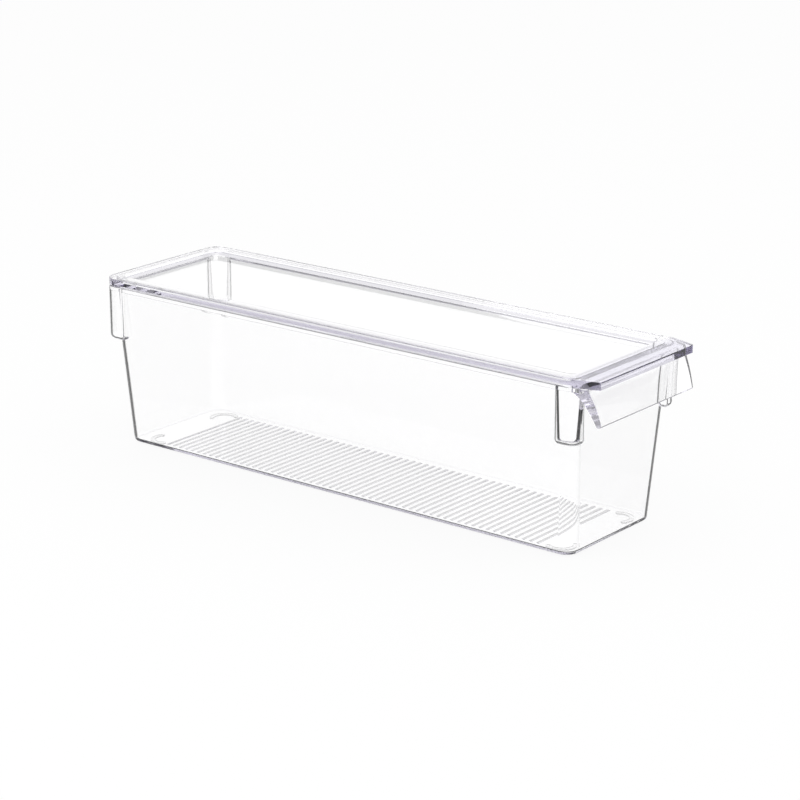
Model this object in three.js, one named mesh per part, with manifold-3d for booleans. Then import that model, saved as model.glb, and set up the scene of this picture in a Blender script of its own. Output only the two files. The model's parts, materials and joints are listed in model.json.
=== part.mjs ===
// Fridge drink organizer: a clear moulded bin with a lift-off lid that takes the next bin.
// Millimetres, +Z up. The origin is on the ground, under the middle of the whole organizer.
// The handle end faces -Y.

import * as THREE from 'three';
import { mergeVertices } from 'three/addons/utils/BufferGeometryUtils.js';
import Module from 'manifold-3d';

const wasm = await Module();
wasm.setup();

// Bin walls, measured outside
const baseWidth = 78.8;
const baseLength = 316.6;
const wallHeight = 95.7;
const sideLean = 6.25;
const frontLean = 5.75;
const backLean = 4.85;
const wallThickness = 1.5;
const floorThickness = 1.6;
const baseCornerRadius = 8.5;
const topCornerRadius = 6.3;
const baseEdgeRadius = 2;
const floorEdgeRadius = 1;

// Rim flange around the mouth
const rimThickness = 2.3;
const rimOverhang = 3.15;
const rimEdgeRadius = 0.5;
const rimRootRadius = 2.2;

// Hollow columns that wrap the four corners under the rim
const columnDrop = 29.7;
const columnAcross = 10;
const columnAlong = 14;
const columnInset = 0.9;
const columnFrontInset = 1.6;
const columnWall = 1;
const columnCornerRadius = 6;
const columnEdgeRadius = 2;
const columnFootRadius = 2.5;

// Finger handle that curls down in front
const handleTipDrop = 19;
const handleTipReach = 11.3;
const handleTipThickness = 2.3;
const handleRootDrop = 2.1;
const handleRootReach = 4;
const handleUndersideDrop = 6.4;
const handleUndersideReach = 3;
const handleCrownDrop = 9.2;
const handleCrownReach = 9.3;

// Fine ribs across the floor
const ribPitch = 4.75;
const ribWidth = 2.4;
const ribHeight = 0.5;
const ribLength = 65;
const ribFrontMargin = 23.5;
const ribBackMargin = 24.5;

// Crescent feet under the floor corners
const footHeight = 0.8;
const footRadius = 7.5;
const footWidth = 2.4;
const footArcShare = 0.44;
const footSideDistance = 13.6;
const footFrontDistance = 14.4;
const footBackDistance = 17.6;

// Lid
const lidGap = 0.3;
const frameThickness = 4.3;
const recessDepth = 3.2;
const recessCornerRadius = 4;
const recessFlare = 1.5;
const panelThickness = 2;
const plugClearance = 0.5;
const stackClearance = 0.6;
const frameEdgeRadius = 0.4;

// Front tab of the lid
const tabReach = 10.5;
const tabTaperInset = 5.2;
const tabTaperStart = 5.3;
const tabCornerRadius = 0.8;

// One overrun serves every cut and every joint between fused features
const overrun = 1;

// How finely curves are divided
const cornerSteps = 10;
const edgeSteps = 4;
const curveSteps = 12;
const ribSteps = 4;
const footSteps = 12;

// Places that follow from the sizes above
const baseZ = footHeight;
const rimZ = baseZ + wallHeight;
const frontOverBase = frontLean + rimOverhang + handleTipReach;
const backOverBase = backLean + rimOverhang;
const baseCentreY = (frontOverBase - backOverBase) / 2;
const baseFrontY = baseCentreY - baseLength / 2;
const baseBackY = baseCentreY + baseLength / 2;
const wallTopFrontY = baseFrontY - frontLean;
const rimFrontY = wallTopFrontY - rimOverhang;
const lidUnderZ = rimZ + lidGap;
const lidTopZ = lidUnderZ + frameThickness;
const panelTopZ = lidTopZ - recessDepth;
const panelUnderZ = panelTopZ - panelThickness;
const tabFrontY = rimFrontY - tabReach;

// An outline is a rounded rectangle at one height, and grow moves all its sides out alike.
function outline(halfWidth, front, back, radius, z) {
  return { halfWidth, front, back, radius, z };
}

function grown(shape, grow, z) {
  const { halfWidth, front, back, radius } = shape;
  return outline(halfWidth + grow, front - grow, back + grow, Math.max(radius + grow, 0), z);
}

// The wall's outer face at a height over the base, where the draft has moved it outwards.
function wallOutline(height, grow) {
  const rise = height / wallHeight;
  const radius = baseCornerRadius + (topCornerRadius - baseCornerRadius) * rise;
  const halfWidth = baseWidth / 2 + sideLean * rise;
  const front = baseFrontY - frontLean * rise;
  const back = baseBackY + backLean * rise;
  return grown(outline(halfWidth, front, back, radius), grow, baseZ + height);
}

// Points of a quarter circle about a centre, counter-clockwise seen from above
function quarterArc(x, y, radius, start, z) {
  const points = [];
  for (let step = 0; step <= cornerSteps; step += 1) {
    const angle = start + (step / cornerSteps) * (Math.PI / 2);
    points.push([x + radius * Math.cos(angle), y + radius * Math.sin(angle), z]);
  }
  return points;
}

function ringPoints({ halfWidth, front, back, radius, z }) {
  const side = halfWidth - radius;
  return [
    ...quarterArc(side, front + radius, radius, -Math.PI / 2, z),
    ...quarterArc(side, back - radius, radius, 0, z),
    ...quarterArc(-side, back - radius, radius, Math.PI / 2, z),
    ...quarterArc(-side, front + radius, radius, Math.PI, z),
  ];
}

// A manifold solid from a closed three.js geometry
function solidFrom(geometry) {
  const bare = geometry.index ? geometry.toNonIndexed() : geometry.clone();
  bare.deleteAttribute('normal');
  bare.deleteAttribute('uv');
  const merged = mergeVertices(bare);
  const mesh = new wasm.Mesh({
    numProp: 3,
    vertProperties: new Float32Array(merged.attributes.position.array),
    triVerts: new Uint32Array(merged.index.array),
  });
  return new wasm.Manifold(mesh);
}

function geometryFrom(solid) {
  const mesh = solid.getMesh();
  const geometry = new THREE.BufferGeometry();
  geometry.setAttribute('position', new THREE.BufferAttribute(mesh.vertProperties, 3));
  geometry.setIndex(new THREE.BufferAttribute(mesh.triVerts, 1));
  geometry.computeVertexNormals();
  return geometry;
}

// A closed solid through a stack of rings with equal counts of points, from the lowest up
function loftRings(rings) {
  const count = rings[0].length;
  const positions = rings.flat(2);
  const faces = [];
  for (let level = 0; level + 1 < rings.length; level += 1) {
    for (let at = 0; at < count; at += 1) {
      const next = (at + 1) % count;
      const low = level * count;
      const high = low + count;
      faces.push(low + at, low + next, high + next, low + at, high + next, high + at);
    }
  }
  const top = (rings.length - 1) * count;
  for (let at = 1; at + 1 < count; at += 1) {
    faces.push(0, at + 1, at, top, top + at, top + at + 1);
  }
  const geometry = new THREE.BufferGeometry();
  geometry.setAttribute('position', new THREE.Float32BufferAttribute(positions, 3));
  geometry.setIndex(faces);
  return solidFrom(geometry);
}

function loft(outlines) {
  return loftRings(outlines.map(ringPoints));
}

// An outline carried straight up from one height to another
function prism(shape, low, high) {
  return loft([grown(shape, 0, low), grown(shape, 0, high)]);
}

// Quarter of a rounding: how far the face has moved along and across at each step
function quarter(radius, steps) {
  const stages = [];
  for (let step = 0; step <= steps; step += 1) {
    const angle = (step / steps) * (Math.PI / 2);
    stages.push({ rise: radius * (1 - Math.cos(angle)), reach: radius * Math.sin(angle) });
  }
  return stages;
}

// A prism whose upper and lower outer edges are rounded
function roundedPlate(shape, low, high, radius) {
  const stages = quarter(radius, edgeSteps);
  const lower = stages.map(({ rise, reach }) => grown(shape, reach - radius, low + rise));
  const upper = stages.map(({ rise, reach }) => grown(shape, reach - radius, high - rise));
  return loft([...lower, ...upper.reverse()]);
}

// A flat shape in X and Y carried up from one height to another
function raised(shape, low, high) {
  const settings = { depth: high - low, bevelEnabled: false, curveSegments: footSteps };
  const geometry = new THREE.ExtrudeGeometry(shape, settings);
  geometry.translate(0, 0, low);
  return solidFrom(geometry);
}

// A section in Y and Z carried across X, equally to both sides
function across(shape, length) {
  const settings = { depth: length, bevelEnabled: false, curveSegments: curveSteps };
  const geometry = new THREE.ExtrudeGeometry(shape, settings);
  geometry.translate(0, 0, -length / 2);
  geometry.rotateX(Math.PI / 2);
  geometry.rotateZ(Math.PI / 2);
  return solidFrom(geometry);
}

// Outside of the bin: rounded base edge, leaning walls and a coved root under the rim
function binOutside() {
  const base = quarter(baseEdgeRadius, edgeSteps).map(({ rise, reach }) =>
    wallOutline(rise, reach - baseEdgeRadius));
  const coveLow = wallHeight - rimThickness - rimRootRadius;
  const cove = quarter(rimRootRadius, edgeSteps).map(({ rise, reach }) =>
    wallOutline(coveLow + reach, rise));
  const top = wallOutline(wallHeight - rimEdgeRadius, rimRootRadius);
  return loft([...base, ...cove, top]);
}

function rimOutline() {
  return wallOutline(wallHeight, rimOverhang);
}

function rimFlange() {
  return roundedPlate(rimOutline(), rimZ - rimThickness, rimZ, rimEdgeRadius);
}

// Space inside the bin, open at the mouth
function binInside() {
  const floor = quarter(floorEdgeRadius, edgeSteps).map(({ rise, reach }) =>
    wallOutline(floorThickness + rise, reach - floorEdgeRadius - wallThickness));
  return loft([...floor, wallOutline(wallHeight + overrun, -wallThickness)]);
}

// Plan of the column at the front corner on the +X side, whose two free edges are rounded
function columnRing(faceY, inset, z) {
  const side = rimOutline().halfWidth - columnInset;
  const farX = side - inset;
  const farY = faceY + inset;
  const nearX = side - columnAcross + inset;
  const nearY = faceY + columnAlong - inset;
  const corner = columnCornerRadius - inset;
  const edge = Math.max(columnEdgeRadius - inset, columnEdgeRadius / 5);
  return [
    ...quarterArc(nearX + edge, farY + edge, edge, Math.PI, z),
    ...quarterArc(farX - corner, farY + corner, corner, -Math.PI / 2, z),
    ...quarterArc(farX - edge, nearY - edge, edge, 0, z),
    [nearX, nearY, z],
  ];
}

function column(faceY, inset, high) {
  const low = rimZ - rimThickness - columnDrop + inset;
  const radius = columnFootRadius - inset;
  const foot = quarter(radius, edgeSteps).map(({ rise, reach }) =>
    columnRing(faceY, inset + radius - reach, low + rise));
  return loftRings([...foot, columnRing(faceY, inset, high)]);
}

// The four columns' outsides, or with an inset of one wall the pockets inside them
function columns(inset, high) {
  const { front, back } = rimOutline();
  const atFront = column(front + columnFrontInset, inset, high);
  const atBack = column(columnInset - back, inset, high).mirror([0, 1, 0]);
  const rightPair = atFront.add(atBack);
  return rightPair.add(rightPair.mirror([1, 0, 0]));
}

// Where the tab and the handle narrow towards their front corners
function taperedPlan(front, back) {
  const rootWidth = rimOutline().halfWidth;
  const rootY = rimFrontY + tabTaperStart;
  const taper = tabTaperInset / (rootY - tabFrontY);
  const tipWidth = rootWidth - taper * (rootY - front);
  const cut = new THREE.Vector2(rootWidth - tipWidth, rootY - front).setLength(tabCornerRadius);
  const shape = new THREE.Shape();
  shape.moveTo(-rootWidth, back);
  shape.lineTo(-rootWidth, rootY);
  shape.lineTo(-tipWidth - cut.x, front + cut.y);
  shape.quadraticCurveTo(-tipWidth, front, -tipWidth + tabCornerRadius, front);
  shape.lineTo(tipWidth - tabCornerRadius, front);
  shape.quadraticCurveTo(tipWidth, front, tipWidth + cut.x, front + cut.y);
  shape.lineTo(rootWidth, rootY);
  shape.lineTo(rootWidth, back);
  return shape;
}

// The handle's section is thick at the rim, thins along a double curve and ends in a round lip.
function handleSection() {
  const rootY = wallTopFrontY + wallThickness / 2;
  const tipY = rimFrontY - handleTipReach;
  const tipZ = rimZ - handleTipDrop;
  const lip = handleTipThickness;
  const shape = new THREE.Shape();
  shape.moveTo(rootY, rimZ);
  shape.lineTo(rimFrontY - handleRootReach, rimZ);
  shape.quadraticCurveTo(rimFrontY - handleCrownReach, rimZ - handleCrownDrop, tipY, tipZ);
  shape.quadraticCurveTo(tipY + lip / 4, tipZ - lip / 2, tipY + lip, tipZ - lip / 4);
  shape.quadraticCurveTo(rimFrontY - handleUndersideReach, rimZ - handleUndersideDrop,
    wallTopFrontY, rimZ - handleRootDrop);
  shape.lineTo(rootY, rimZ - handleRootDrop);
  return shape;
}

function handle() {
  const width = baseWidth + 2 * (sideLean + rimOverhang);
  const tipFront = rimFrontY - handleTipReach - overrun;
  const plan = raised(taperedPlan(tipFront, baseFrontY), baseZ, lidTopZ);
  return across(handleSection(), width).intersect(plan);
}

// One rib is a low arch under the floor, sunk a little into it so that it fuses.
function ribSection(centreY) {
  const rootZ = baseZ + floorThickness / 2;
  const shape = new THREE.Shape();
  shape.moveTo(centreY + ribWidth / 2, rootZ);
  shape.lineTo(centreY + ribWidth / 2, baseZ);
  for (let step = 1; step <= ribSteps; step += 1) {
    const angle = Math.PI * (step / ribSteps);
    const drop = ribHeight * Math.sin(angle);
    shape.lineTo(centreY + (ribWidth / 2) * Math.cos(angle), baseZ - drop);
  }
  shape.lineTo(centreY - ribWidth / 2, rootZ);
  return shape;
}

function floorRibs() {
  const field = baseLength - ribFrontMargin - ribBackMargin;
  const count = Math.floor(field / ribPitch) + 1;
  const firstY = baseFrontY + ribFrontMargin + (field - (count - 1) * ribPitch) / 2;
  const ribs = [];
  for (let index = 0; index < count; index += 1) {
    ribs.push(across(ribSection(firstY + index * ribPitch), ribLength));
  }
  return ribs.reduce((sum, rib) => sum.add(rib));
}

// Part of a ring with round ends that bulges towards its corner of the floor
function crescent(centreX, centreY, middleAngle) {
  const half = footWidth / 2;
  const from = middleAngle - footArcShare * Math.PI;
  const to = middleAngle + footArcShare * Math.PI;
  const shape = new THREE.Shape();
  shape.absarc(centreX, centreY, footRadius + half, from, to, false);
  const endX = centreX + footRadius * Math.cos(to);
  const endY = centreY + footRadius * Math.sin(to);
  shape.absarc(endX, endY, half, to, to + Math.PI, false);
  shape.absarc(centreX, centreY, footRadius - half, to, from, true);
  const startX = centreX + footRadius * Math.cos(from);
  const startY = centreY + footRadius * Math.sin(from);
  shape.absarc(startX, startY, half, from + Math.PI, from + 2 * Math.PI, false);
  return raised(shape, 0, baseZ + floorThickness / 2);
}

function cornerFeet() {
  const x = baseWidth / 2 - footSideDistance;
  const frontY = baseFrontY + footFrontDistance;
  const backY = baseBackY - footBackDistance;
  const feet = [
    crescent(x, frontY, -Math.PI / 4),
    crescent(x, backY, Math.PI / 4),
    crescent(-x, backY, (3 * Math.PI) / 4),
    crescent(-x, frontY, (-3 * Math.PI) / 4),
  ];
  return feet.reduce((sum, foot) => sum.add(foot));
}

function bin() {
  const columnTop = rimZ - rimThickness / 2;
  const outside = binOutside().add(rimFlange()).add(columns(0, columnTop));
  const inside = binInside().add(columns(columnWall, rimZ + overrun));
  return outside.add(handle()).subtract(inside).add(floorRibs()).add(cornerFeet());
}

// The recess takes the base of the bin above. At its edge it has that bin's outline with clearance.
function recessOutline() {
  return { ...wallOutline(recessDepth - footHeight, stackClearance), radius: recessCornerRadius };
}

// The plug under the frame drops into the mouth of the bin and carries the sunken panel.
function plugOutline() {
  return wallOutline(wallHeight, -wallThickness - plugClearance);
}

// The recess's walls flare outwards, so that the next bin slides into place.
function recess() {
  const edge = recessOutline();
  const floor = grown(edge, -recessFlare, panelTopZ);
  return loft([floor, grown(edge, 0, lidTopZ), grown(edge, 0, lidTopZ + overrun)]);
}

function lidTab() {
  return raised(taperedPlan(tabFrontY, baseFrontY), lidUnderZ, lidTopZ);
}

function lid() {
  const frame = roundedPlate(rimOutline(), lidUnderZ, lidTopZ, frameEdgeRadius);
  const plug = prism(plugOutline(), panelUnderZ, lidUnderZ + frameThickness / 2);
  return frame.add(lidTab()).add(plug).subtract(recess());
}

function piece(name, solid, material) {
  const mesh = new THREE.Mesh(geometryFrom(solid), material);
  mesh.name = name;
  return mesh;
}

function clearPlastic(color) {
  const look = { color, roughness: 0.06, metalness: 0, transparent: true, opacity: 0.35 };
  return new THREE.MeshStandardMaterial(look);
}

const organizer = new THREE.Group();
organizer.name = 'fridge_organizer';
organizer.add(piece('bin', bin(), clearPlastic('#eef0f6')));
organizer.add(piece('lid', lid(), clearPlastic('#e9eaf3')));

export default organizer;
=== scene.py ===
"""Looks of the clear fridge organizer: moulded clear plastic on a pale studio floor, in metres."""

import json
import math

import bmesh
import bpy
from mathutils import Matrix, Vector

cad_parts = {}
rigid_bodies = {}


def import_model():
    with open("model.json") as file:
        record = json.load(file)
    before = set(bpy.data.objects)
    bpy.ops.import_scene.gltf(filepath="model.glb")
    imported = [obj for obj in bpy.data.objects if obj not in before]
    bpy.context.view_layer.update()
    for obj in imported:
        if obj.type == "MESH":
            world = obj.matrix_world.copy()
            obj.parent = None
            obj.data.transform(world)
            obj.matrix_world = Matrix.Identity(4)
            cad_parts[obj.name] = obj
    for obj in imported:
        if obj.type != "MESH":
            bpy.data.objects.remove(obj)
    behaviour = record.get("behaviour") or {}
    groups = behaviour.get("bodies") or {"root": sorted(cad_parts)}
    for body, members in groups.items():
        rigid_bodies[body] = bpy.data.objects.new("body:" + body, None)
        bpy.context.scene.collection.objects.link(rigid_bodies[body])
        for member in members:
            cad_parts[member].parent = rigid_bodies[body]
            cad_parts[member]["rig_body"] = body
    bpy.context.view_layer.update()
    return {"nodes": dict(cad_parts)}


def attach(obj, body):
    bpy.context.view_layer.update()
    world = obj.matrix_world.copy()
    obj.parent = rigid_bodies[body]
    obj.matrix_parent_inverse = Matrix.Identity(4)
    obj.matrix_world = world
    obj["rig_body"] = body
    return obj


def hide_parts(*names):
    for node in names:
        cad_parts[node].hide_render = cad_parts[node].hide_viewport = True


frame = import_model()

MM = 0.001
WHITE = (1.0, 1.0, 1.0, 1.0)

# Camera, from a fit to the straight edges of the photograph
PHOTO_SIDE_PX = 800
FOCAL_LENGTH_PX = 2598.3
SENSOR_WIDTH = 36.0
CAMERA_AZIMUTH = math.radians(-51.78)
CAMERA_ELEVATION = math.radians(17.47)
CAMERA_DISTANCE = 1451.1 * MM
CAMERA_TARGET = Vector((0.0, -8.73, 49.5)) * MM
NEAR_CLIP_SHARE = 0.01

# Rounding of the moulded edges
MOULD_EDGE = 0.3 * MM
EDGE_SEGMENTS = 2
EDGE_ANGLE = math.radians(28)
FLAT_ANGLE = math.radians(0.4)
MERGE_DISTANCE = 0.002 * MM
NORMAL_WEIGHT = 60

# Clear plastic
PLASTIC_IOR = 1.52
PLASTIC_TINT = (0.60, 0.57, 0.69, 1.0)
BIN_DENSITY = 8.0
LID_DENSITY = 11.0
SHADOW_TINT = (0.93, 0.93, 0.95, 1.0)
HAZE_SCALE = 35.0
HAZE_DETAIL = 3.0
HAZE_ROUGHNESS = 0.03
WAVE_SCALE = 22.0
WAVE_DETAIL = 1.0
WAVE_STRENGTH = 0.3
WAVE_HEIGHT = 0.05 * MM

# Painted shade in the plastic's colour: the axis, where the painted shade starts, where it is full, and its
# colour
# Grey painted on the bin below 0.79 mm, its underside ribs and feet: painted shade for the darkness seen
# through them
RIB_PAINTED_SHADE = ("Z", 0.79 * MM, 0.45 * MM, (0.33, 0.33, 0.33, 1.0))
# Violet-grey painted towards the lid's front tab: painted shade for the dimming of light through the thick
# tab
TAB_PAINTED_SHADE = ("Y", -150 * MM, -158 * MM, (0.87, 0.86, 0.93, 1.0))

# Floor
FLOOR_HALF = 3.0
FLOOR_COLOUR = (0.93, 0.93, 0.93, 1.0)
FLOOR_GLOW_SHARE = 0.92

# World: the ceiling's colour, the painted violet-grey reflection that rays caught inside the plastic see
# instead, and the height of a direction where each starts and where it is full
WORLD_LIGHT = 0.75
CEILING_COLOUR = (0.42, 0.42, 0.44, 1.0)
CEILING_RISE = (0.35, 0.75)
# Painted reflection: a violet-grey ceiling shown only to rays caught inside the plastic
PAINTED_INSIDE_CEILING_COLOUR = (0.42, 0.41, 0.47, 1.0)
PAINTED_INSIDE_CEILING_RISE = (0.4, 0.7)
THROUGH_GAIN = 0.12

# Painted dark reflection, which the floor shows to rays caught inside the plastic: its colour, and the
# share of it that a ray sees by the faces it came through and by its reflections inside the plastic
PAINTED_DARK_REFLECTION_COLOUR = (0.02, 0.02, 0.02, 1.0)
FACE_SHARES = ((2, 1.0), (4, 0.22), (6, 1.0))
TURN_SHARES = ((4, 1.0), (9, 0.6))
DEEPEST_RAY = 20

# Lamps: name, azimuth and elevation in degrees, and power
LAMPS = (("key", -100, 45, 9.0), ("fill", 30, 50, 5.0))
LAMP_DISTANCE = 1.6
LAMP_SIDE = 1.6

# Bounces of light, enough for rays that are caught in the thick edges
MAX_BOUNCES = 64
GLOSSY_BOUNCES = 48
TRANSPARENT_BOUNCES = 24

# Places of the colour sockets of a Mix node, whose names serve other types too
MIX_FACTOR = 0
MIX_FIRST = 6
MIX_SECOND = 7
MIX_RESULT = 2


def direction_to(azimuth, elevation):
    """Unit vector from the object towards a viewer at that azimuth and elevation."""
    flat = math.cos(elevation)
    return Vector((math.sin(azimuth) * flat, -math.cos(azimuth) * flat, math.sin(elevation)))


def aim(thing, back):
    """Turns a camera or lamp, which lies in the direction back from its target, to face the target."""
    thing.rotation_mode = "QUATERNION"
    thing.rotation_quaternion = (-back).to_track_quat("-Z", "Y")


def make_camera():
    data = bpy.data.cameras.new("camera")
    data.sensor_width = SENSOR_WIDTH
    data.lens = SENSOR_WIDTH * FOCAL_LENGTH_PX / PHOTO_SIDE_PX
    data.clip_start = CAMERA_DISTANCE * NEAR_CLIP_SHARE
    camera = bpy.data.objects.new("camera", data)
    back = direction_to(CAMERA_AZIMUTH, CAMERA_ELEVATION)
    camera.location = CAMERA_TARGET + back * CAMERA_DISTANCE
    aim(camera, back)
    bpy.context.scene.collection.objects.link(camera)
    bpy.context.scene.camera = camera


def new_material(name):
    """A material with an empty node tree, and the tree."""
    material = bpy.data.materials.new(name)
    material.use_nodes = True
    material.node_tree.nodes.clear()
    return material, material.node_tree


def feed(tree, value, socket):
    """Links another node's output to a socket, or sets a constant on the socket."""
    if isinstance(value, bpy.types.NodeSocket):
        tree.links.new(value, socket)
    else:
        socket.default_value = value


def add_node(tree, kind, values):
    """A new node, fed with constants or other nodes' outputs by the names of its sockets."""
    node = tree.nodes.new(kind)
    for name, value in values.items():
        feed(tree, value, node.inputs[name])
    return node


def calculate(tree, operation, *values, clamp=False):
    """The output of a Math node on constants or other nodes' outputs."""
    node = tree.nodes.new("ShaderNodeMath")
    node.operation = operation
    node.use_clamp = clamp
    for value, socket in zip(values, node.inputs):
        feed(tree, value, socket)
    return node.outputs["Value"]


def mix_colours(tree, factor, first, second):
    """The mix of two colours, each one a constant or another node's output."""
    node = tree.nodes.new("ShaderNodeMix")
    node.data_type = "RGBA"
    feed(tree, factor, node.inputs[MIX_FACTOR])
    feed(tree, first, node.inputs[MIX_FIRST])
    feed(tree, second, node.inputs[MIX_SECOND])
    return node.outputs[MIX_RESULT]


def mix_shaders(tree, factor, first, second):
    """The mix of two shaders' outputs."""
    node = tree.nodes.new("ShaderNodeMixShader")
    for value, socket in zip((factor, first, second), node.inputs):
        feed(tree, value, socket)
    return node.outputs["Shader"]


def colour_ramp(tree, factor, stops):
    """The colour that a ramp with those positions and colours gives a factor."""
    node = add_node(tree, "ShaderNodeValToRGB", {"Fac": factor})
    elements = node.color_ramp.elements
    while len(elements) < len(stops):
        elements.new(1.0)
    for element, (position, colour) in zip(elements, stops):
        element.position = position
        element.color = colour
    return node.outputs["Color"]


def fading_colour(tree, place, axis, start, end, colour):
    """White up to one place along an axis of the object, and a colour from another place on."""
    split = add_node(tree, "ShaderNodeSeparateXYZ", {"Vector": place})
    ramp = add_node(tree, "ShaderNodeMapRange", {
        "Value": split.outputs[axis],
        "From Min": start,
        "From Max": end,
    })
    return mix_colours(tree, ramp.outputs["Result"], WHITE, colour)


def haze_roughness(tree, place):
    """Roughness of a trace of haze, which varies over the surface."""
    noise = add_node(tree, "ShaderNodeTexNoise", {
        "Vector": place,
        "Scale": HAZE_SCALE,
        "Detail": HAZE_DETAIL,
    })
    spread = add_node(tree, "ShaderNodeMapRange", {
        "Value": noise.outputs["Fac"],
        "To Min": 0.0,
        "To Max": HAZE_ROUGHNESS,
    })
    return spread.outputs["Result"]


def flow_waves(tree, place):
    """Normal of the faint waves that the melt's flow leaves."""
    noise = add_node(tree, "ShaderNodeTexNoise", {
        "Vector": place,
        "Scale": WAVE_SCALE,
        "Detail": WAVE_DETAIL,
    })
    bump = add_node(tree, "ShaderNodeBump", {
        "Height": noise.outputs["Fac"],
        "Strength": WAVE_STRENGTH,
        "Distance": WAVE_HEIGHT,
    })
    return bump.outputs["Normal"]


def clear_plastic(name, density, painted_shade):
    """Polished clear moulding: faint flow waves, a trace of haze, a violet-grey tint with depth, and a
    painted shade that fades in along one axis."""
    material, tree = new_material(name)
    place = tree.nodes.new("ShaderNodeTexCoord").outputs["Object"]
    # The base colour fades from white to a painted shade along one axis
    shader = add_node(tree, "ShaderNodeBsdfPrincipled", {
        "Base Color": fading_colour(tree, place, *painted_shade),
        "Roughness": haze_roughness(tree, place),
        "Normal": flow_waves(tree, place),
        "Transmission Weight": 1.0,
        "IOR": PLASTIC_IOR,
    })
    light_path = tree.nodes.new("ShaderNodeLightPath")
    open_way = add_node(tree, "ShaderNodeBsdfTransparent", {"Color": SHADOW_TINT})
    surface = mix_shaders(
        tree, light_path.outputs["Is Shadow Ray"], shader.outputs["BSDF"], open_way.outputs["BSDF"])
    absorption = add_node(tree, "ShaderNodeVolumeAbsorption", {"Color": PLASTIC_TINT, "Density": density})
    add_node(tree, "ShaderNodeOutputMaterial", {"Surface": surface, "Volume": absorption.outputs["Volume"]})
    return material


def moulded_copy(node, name, material):
    """A copy of a CAD node with its facets merged into faces and its sharp edges rounded."""
    mesh = bpy.data.meshes.new(name)
    shape = bmesh.new()
    shape.from_mesh(frame["nodes"][node].data)
    bmesh.ops.remove_doubles(shape, verts=shape.verts, dist=MERGE_DISTANCE)
    bmesh.ops.dissolve_limit(
        shape, angle_limit=FLAT_ANGLE, verts=shape.verts, edges=shape.edges)
    for face in shape.faces:
        face.smooth = True
    shape.to_mesh(mesh)
    shape.free()
    mesh.set_sharp_from_angle(angle=EDGE_ANGLE)
    mesh.materials.append(material)
    piece = bpy.data.objects.new(name, mesh)
    bpy.context.scene.collection.objects.link(piece)

    bevel = piece.modifiers.new("mould_edges", "BEVEL")
    bevel.limit_method = "ANGLE"
    bevel.angle_limit = EDGE_ANGLE
    bevel.width = MOULD_EDGE
    bevel.segments = EDGE_SEGMENTS
    bevel.use_clamp_overlap = True
    normals = piece.modifiers.new("flat_faces", "WEIGHTED_NORMAL")
    normals.keep_sharp = False
    normals.weight = NORMAL_WEIGHT
    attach(piece, frame["nodes"][node]["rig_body"])
    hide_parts(node)
    return piece


def make_object():
    bin_plastic = clear_plastic("bin_plastic", BIN_DENSITY, RIB_PAINTED_SHADE)
    lid_plastic = clear_plastic("lid_plastic", LID_DENSITY, TAB_PAINTED_SHADE)
    moulded_copy("bin", "clear_bin", bin_plastic)
    moulded_copy("lid", "clear_lid", lid_plastic)


def seen_directly(tree):
    """1 for a ray from the camera, straight or by way of gloss or glass, and 0 for one that lights."""
    ray = tree.nodes.new("ShaderNodeLightPath").outputs
    glossy = calculate(tree, "MAXIMUM", ray["Is Camera Ray"], ray["Is Glossy Ray"])
    return calculate(tree, "MAXIMUM", glossy, ray["Is Transmission Ray"])


def share_by_depth(tree, depth, shares):
    """The share for a ray's depth, which runs from one of the listed depths to the next."""
    position = calculate(tree, "DIVIDE", depth, DEEPEST_RAY)
    stops = [(count / DEEPEST_RAY, (share, share, share, 1.0)) for count, share in shares]
    return colour_ramp(tree, position, stops)


def painted_reflection_share(tree):
    """How much painted dark reflection a ray sees: all of it after a few reflections within one clear wall,
    less after several walls or many reflections, and none where it came straight through."""
    ray = tree.nodes.new("ShaderNodeLightPath").outputs
    faces = ray["Transmission Depth"]
    turns = ray["Glossy Depth"]
    inside = calculate(tree, "MULTIPLY", turns, faces, clamp=True)
    share = calculate(
        tree, "MULTIPLY",
        share_by_depth(tree, faces, FACE_SHARES), share_by_depth(tree, turns, TURN_SHARES))
    return calculate(tree, "MULTIPLY", inside, share)


def through_strength(tree):
    """The backdrop's strength: 1 for the bare eye, a little more behind clear walls, as they dim it."""
    ray = tree.nodes.new("ShaderNodeLightPath").outputs
    return calculate(tree, "MULTIPLY_ADD", ray["Is Transmission Ray"], THROUGH_GAIN, 1.0)


def make_floor():
    """Pale floor that keeps the object's shadow and shows a painted dark reflection to rays caught inside
    the plastic.
    """
    material, tree = new_material("studio_floor")
    paint = add_node(tree, "ShaderNodeBsdfDiffuse", {"Color": FLOOR_COLOUR})
    # The glow turns to the painted dark reflection for rays caught inside the plastic, and stays white for
    # the rest
    glow = add_node(tree, "ShaderNodeEmission", {
        "Color": mix_colours(tree, painted_reflection_share(tree), WHITE, PAINTED_DARK_REFLECTION_COLOUR),
        "Strength": through_strength(tree),
    })
    share = calculate(tree, "MULTIPLY", seen_directly(tree), FLOOR_GLOW_SHARE)
    surface = mix_shaders(tree, share, paint.outputs["BSDF"], glow.outputs["Emission"])
    add_node(tree, "ShaderNodeOutputMaterial", {"Surface": surface})

    mesh = bpy.data.meshes.new("studio_floor")
    corners = [(-FLOOR_HALF, -FLOOR_HALF), (FLOOR_HALF, -FLOOR_HALF),
               (FLOOR_HALF, FLOOR_HALF), (-FLOOR_HALF, FLOOR_HALF)]
    mesh.from_pydata([(x, y, 0.0) for x, y in corners], [], [(0, 1, 2, 3)])
    mesh.materials.append(material)
    floor = bpy.data.objects.new("studio_floor", mesh)
    bpy.context.scene.collection.objects.link(floor)


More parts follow.
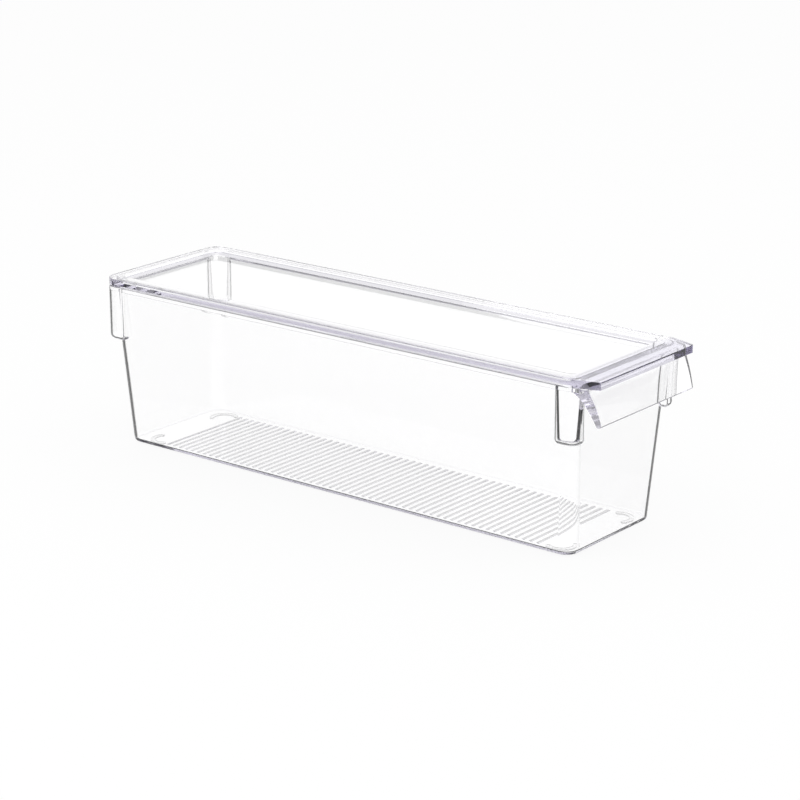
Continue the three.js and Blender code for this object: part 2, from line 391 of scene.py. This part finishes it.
def ceiling_view(tree, height, rise, colour):
    """White up to one height of a direction, and the ceiling's colour from another height on."""
    start, full = rise
    return colour_ramp(tree, height, [(start, WHITE), (full, colour)])


def make_world():
    """White all round near the horizon and greyer overhead, which gives the clear edges something to show,
    a painted violet-grey reflection overhead for rays caught inside the plastic, and an even white for the
    rays that light the object."""
    world = bpy.data.worlds.new("studio")
    world.use_nodes = True
    tree = world.node_tree
    tree.nodes.clear()
    place = tree.nodes.new("ShaderNodeTexCoord").outputs["Generated"]
    height = add_node(tree, "ShaderNodeSeparateXYZ", {"Vector": place}).outputs["Z"]
    outer_view = ceiling_view(tree, height, CEILING_RISE, CEILING_COLOUR)
    # Rays caught inside the plastic see the painted violet-grey reflection in place of the ceiling
    painted_inside_view = ceiling_view(tree, height, PAINTED_INSIDE_CEILING_RISE, PAINTED_INSIDE_CEILING_COLOUR)
    shown = add_node(tree, "ShaderNodeBackground", {
        "Color": mix_colours(tree, painted_reflection_share(tree), outer_view, painted_inside_view),
        "Strength": through_strength(tree),
    })
    lighting = add_node(tree, "ShaderNodeBackground", {"Color": WHITE, "Strength": WORLD_LIGHT})
    surface = mix_shaders(
        tree, seen_directly(tree), lighting.outputs["Background"], shown.outputs["Background"])
    add_node(tree, "ShaderNodeOutputWorld", {"Surface": surface})
    bpy.context.scene.world = world


def area_lamp(name, azimuth, elevation, power):
    """A wide, soft lamp that faces the object's base."""
    data = bpy.data.lights.new(name, "AREA")
    data.shape = "SQUARE"
    data.size = LAMP_SIDE
    data.energy = power
    lamp = bpy.data.objects.new(name, data)
    back = direction_to(math.radians(azimuth), math.radians(elevation))
    lamp.location = back * LAMP_DISTANCE
    aim(lamp, back)
    bpy.context.scene.collection.objects.link(lamp)


def make_lamps():
    for lamp in LAMPS:
        area_lamp(*lamp)


def set_look():
    scene = bpy.context.scene
    scene.view_settings.view_transform = "Standard"
    scene.cycles.max_bounces = MAX_BOUNCES
    scene.cycles.transmission_bounces = MAX_BOUNCES
    scene.cycles.glossy_bounces = GLOSSY_BOUNCES
    scene.cycles.transparent_max_bounces = TRANSPARENT_BOUNCES
    scene.cycles.caustics_reflective = False
    scene.cycles.caustics_refractive = False


make_camera()
make_object()
make_floor()
make_world()
make_lamps()
set_look()
